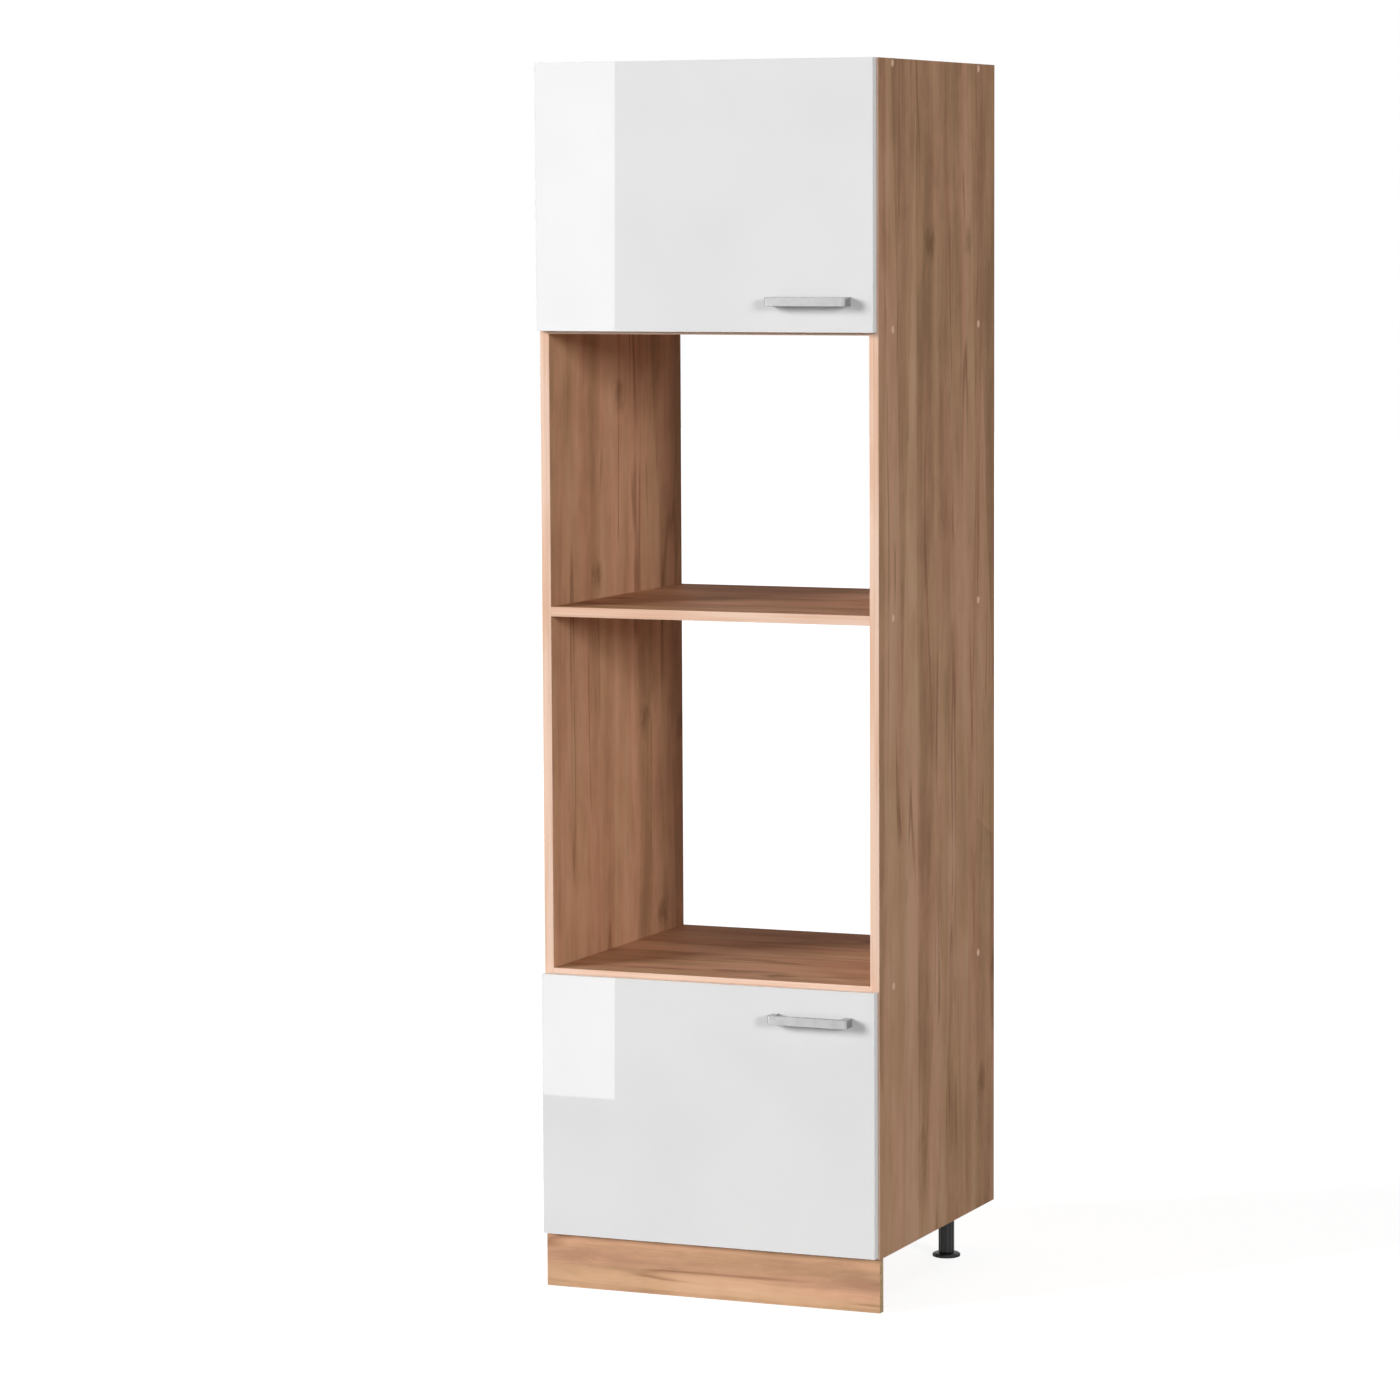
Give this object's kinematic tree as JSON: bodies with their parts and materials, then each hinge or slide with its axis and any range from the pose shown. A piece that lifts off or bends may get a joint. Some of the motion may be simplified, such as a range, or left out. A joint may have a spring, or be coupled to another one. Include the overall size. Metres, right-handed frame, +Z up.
{
  "type": "microwave housing unit",
  "caption": "Tall oak-decor kitchen unit on plinth and legs, open oven and microwave niches between gloss grey doors with bow handles.",
  "frame": {"origin": "middle of the whole unit's footprint, handles counted, on the floor", "axes": "+Z up, +X to the viewer's right when facing the doors, +Y from the doors to the wall"},
  "size_m": [0.6016, 0.596, 2.046],
  "materials": {
    "oak_decor": "matt oak decor on chipboard, grain up the sides and along the shelves",
    "oak_plinth": "matt light oak decor on chipboard, grain across",
    "light_band": "satin plain pale oak edge band",
    "back_board": "thin hardboard, pale lacquered face",
    "gloss_front": "high-gloss pale grey laminate on fibreboard",
    "gloss_band": "gloss near-white edge band",
    "handle_metal": "satin anodised",
    "hinge_steel": "nickel-plated stamped steel",
    "screw_steel": "zinc-plated",
    "cam_zinc": "die-cast zinc alloy, dull grey",
    "bracket_steel": "zinc-plated sheet",
    "leg_plastic": "black moulded plastic",
    "cap_plastic": "pale oak coloured moulded plastic",
    "bumper_plastic": "clear soft plastic dots",
    "dowel_beech": "plain beech"
  },
  "bodies": {
    "carcass": {"arm_clamp_screws": "screw_steel", "arm_pins": "hinge_steel", "bottom_panel": "oak_decor", "cam_bolts": "screw_steel", "cam_discs": "cam_zinc", "confirmat_screws": "screw_steel", "cover_caps": "cap_plastic", "front_edge_bands": "light_band", "hinge_arms": "hinge_steel", "hinge_mounting_plates": "hinge_steel", "left_side_panel": "oak_decor", "leg_plate_screws": "screw_steel", "leg_plates": "leg_plastic", "leg_tubes": "leg_plastic", "lower_back_panel": "back_board", "lower_fixed_shelf": "oak_decor", "lower_loose_shelf": "oak_decor", "middle_fixed_shelf": "oak_decor", "mounting_plate_screws": "screw_steel", "plinth_board": "oak_plinth", "plinth_clip_screws": "screw_steel", "plinth_clips": "leg_plastic", "right_side_panel": "oak_decor", "shelf_pins": "screw_steel", "top_panel": "oak_decor", "upper_back_panel": "back_board", "upper_fixed_shelf": "oak_decor", "upper_loose_shelf": "oak_decor", "wall_bracket_screws": "screw_steel", "wall_brackets": "bracket_steel", "wooden_dowels": "dowel_beech"},
    "lower_outer_links": {"lower_outer_links": "hinge_steel"},
    "lower_inner_links": {"lower_inner_links": "hinge_steel"},
    "lower_door": {"lower_door": "gloss_front", "lower_door_edge_band": "gloss_band", "lower_door_handle": "handle_metal", "lower_handle_screws": "screw_steel", "lower_door_bumpers": "bumper_plastic", "lower_hinge_cups": "hinge_steel", "lower_cup_pins": "hinge_steel", "lower_cup_screws": "screw_steel"},
    "upper_outer_links": {"upper_outer_links": "hinge_steel"},
    "upper_inner_links": {"upper_inner_links": "hinge_steel"},
    "upper_door": {"upper_door": "gloss_front", "upper_door_edge_band": "gloss_band", "upper_door_handle": "handle_metal", "upper_handle_screws": "screw_steel", "upper_door_bumpers": "bumper_plastic", "upper_hinge_cups": "hinge_steel", "upper_cup_pins": "hinge_steel", "upper_cup_screws": "screw_steel"},
    "foot_front_left": {"foot_front_left": "leg_plastic"},
    "foot_front_right": {"foot_front_right": "leg_plastic"},
    "foot_rear_left": {"foot_rear_left": "leg_plastic"},
    "foot_rear_right": {"foot_rear_right": "leg_plastic"}
  },
  "joints": [
    {"name": "lower_outer_link_turn", "type": "hinge", "parent": "carcass", "child": "lower_outer_links", "pos_m": [-0.259, -0.2363, 0.3135], "axis": [0, 0, 1], "range_deg": [0, 23.42]},
    {"name": "lower_door_turn", "type": "hinge", "parent": "lower_outer_links", "child": "lower_door", "pos_m": [-0.2876, -0.2555, 0.3135], "axis": [0, 0, -1], "range_deg": [0, 113.4]},
    {"name": "lower_inner_link_turn", "type": "hinge", "parent": "carcass", "child": "lower_inner_links", "pos_m": [-0.259, -0.2507, 0.3135], "axis": [0, 0, 1], "range_deg": [0, 31.79]},
    {"name": "upper_outer_link_turn", "type": "hinge", "parent": "carcass", "child": "upper_outer_links", "pos_m": [-0.259, -0.2363, 1.826], "axis": [0, 0, 1], "range_deg": [0, 23.42]},
    {"name": "upper_door_turn", "type": "hinge", "parent": "upper_outer_links", "child": "upper_door", "pos_m": [-0.2876, -0.2555, 1.826], "axis": [0, 0, -1], "range_deg": [0, 113.4]},
    {"name": "upper_inner_link_turn", "type": "hinge", "parent": "carcass", "child": "upper_inner_links", "pos_m": [-0.259, -0.2507, 1.826], "axis": [0, 0, 1], "range_deg": [0, 31.79]},
    {"name": "foot_front_left_height", "type": "slide", "parent": "carcass", "child": "foot_front_left", "axis": [0, 0, -1], "range_m": [0, 0.02]},
    {"name": "foot_front_right_height", "type": "slide", "parent": "carcass", "child": "foot_front_right", "axis": [0, 0, -1], "range_m": [0, 0.02]},
    {"name": "foot_rear_left_height", "type": "slide", "parent": "carcass", "child": "foot_rear_left", "axis": [0, 0, -1], "range_m": [0, 0.02]},
    {"name": "foot_rear_right_height", "type": "slide", "parent": "carcass", "child": "foot_rear_right", "axis": [0, 0, -1], "range_m": [0, 0.02]}
  ],
  "couplings": [
    {"joint": "lower_outer_link_turn", "follows": "lower_door_turn", "ratio": 0.20635},
    {"joint": "lower_inner_link_turn", "follows": "lower_door_turn", "ratio": 0.28016},
    {"joint": "upper_outer_link_turn", "follows": "upper_door_turn", "ratio": 0.20635},
    {"joint": "upper_inner_link_turn", "follows": "upper_door_turn", "ratio": 0.28016}
  ]
}
